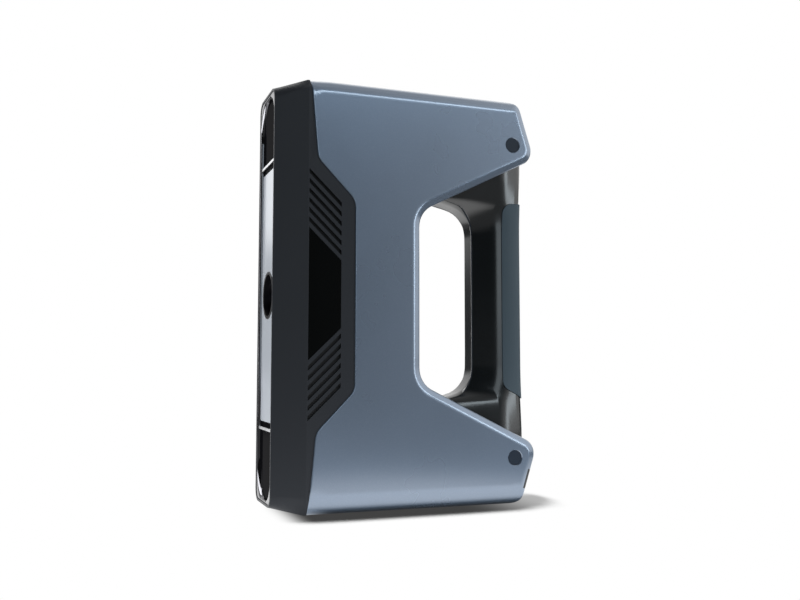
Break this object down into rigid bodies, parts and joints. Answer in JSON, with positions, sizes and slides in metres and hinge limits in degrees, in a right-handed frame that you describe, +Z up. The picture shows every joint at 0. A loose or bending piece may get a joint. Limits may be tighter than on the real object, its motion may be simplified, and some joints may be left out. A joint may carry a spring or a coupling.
{
  "type": "handheld three-d scanner",
  "caption": "Tall handheld optical scanner: dark front housing with camera and projector windows, grey side covers and a flared rear grip across a finger opening.",
  "frame": {"origin": "centre of the bounding box at its lowest level, where the scanner stands", "axes": "+X across the width, -Y the way the scanning windows look, +Y towards the handle, +Z up the long side"},
  "size_m": [0.062, 0.204, 0.31],
  "materials": {
    "housing_black": "satin, finely textured",
    "cover_grey": "satin blue-grey paint with a fine metallic fleck",
    "bezel_black": "gloss",
    "window_dark": "polished dark filter",
    "bar_silver": "satin",
    "fascia_white": "gloss",
    "lens_black": "black anodised",
    "lens_glass": "polished and coated",
    "housing_inner": "moulded",
    "metal_bare": "machined",
    "circuit_board": "solder mask",
    "plate_black": "high gloss",
    "dust_mesh": "fine black mesh",
    "handle_black": "satin",
    "grip_rubber": "soft touch",
    "panel_black": "satin gloss",
    "button_grey": "satin",
    "light_clear": "frosted",
    "socket_metal": "satin plated",
    "steel": "plain",
    "plug_rubber": "smooth"
  },
  "bodies": {
    "scanner": {"board_spacers": "metal_bare", "button_board": "circuit_board", "button_panel": "panel_black", "cable_socket": "socket_metal", "camera_board_lower": "circuit_board", "camera_board_upper": "circuit_board", "camera_body_lower": "lens_black", "camera_body_upper": "lens_black", "camera_lens_lower": "lens_glass", "camera_lens_upper": "lens_glass", "camera_window_lower": "window_dark", "camera_window_upper": "window_dark", "cover_nuts": "steel", "cover_screws": "steel", "dust_screen_left": "dust_mesh", "dust_screen_right": "dust_mesh", "fan_frame": "housing_inner", "fill_light_lower": "circuit_board", "fill_light_upper": "circuit_board", "front_bezel": "bezel_black", "front_housing": "housing_black", "grip_pad": "grip_rubber", "handle_shell": "handle_black", "handle_spine": "metal_bare", "lens_ring": "lens_black", "main_board": "circuit_board", "optics_bracket": "metal_bare", "processor_cooler": "metal_bare", "projector_barrel": "lens_black", "projector_fascia": "fascia_white", "projector_heat_sink": "metal_bare", "projector_lens": "lens_glass", "projector_module": "housing_inner", "screw_plug_lower_left": "plug_rubber", "screw_plug_lower_right": "plug_rubber", "screw_plug_upper_left": "plug_rubber", "screw_plug_upper_right": "plug_rubber", "side_cover_left": "cover_grey", "side_cover_right": "cover_grey", "side_plate_left": "plate_black", "side_plate_right": "plate_black", "socket_insert": "housing_inner", "socket_nut": "steel", "socket_panel": "panel_black", "status_light": "light_clear", "window_bar_lower": "bar_silver", "window_bar_upper": "bar_silver"},
    "scan_key": {"scan_button": "button_grey"},
    "plus_key": {"plus_button": "button_grey"},
    "minus_key": {"minus_button": "button_grey"},
    "cooling_fan": {"fan_rotor": "housing_inner"}
  },
  "joints": [
    {"name": "scan_key_press", "type": "slide", "parent": "scanner", "child": "scan_key", "axis": [0, -0.9521, -0.3057], "range_m": [0, 0.0008], "stiffness_N_per_m": 1500, "springref_m": -0.0003},
    {"name": "plus_key_press", "type": "slide", "parent": "scanner", "child": "plus_key", "axis": [0, -0.9521, -0.3057], "range_m": [0, 0.0008], "stiffness_N_per_m": 1500, "springref_m": -0.0003},
    {"name": "minus_key_press", "type": "slide", "parent": "scanner", "child": "minus_key", "axis": [0, -0.9521, -0.3057], "range_m": [0, 0.0008], "stiffness_N_per_m": 1500, "springref_m": -0.0003},
    {"name": "fan_spin", "type": "hinge", "parent": "scanner", "child": "cooling_fan", "pos_m": [0.024, -0.0616, 0.097], "axis": [1, 0, 0], "continuous": true}
  ]
}
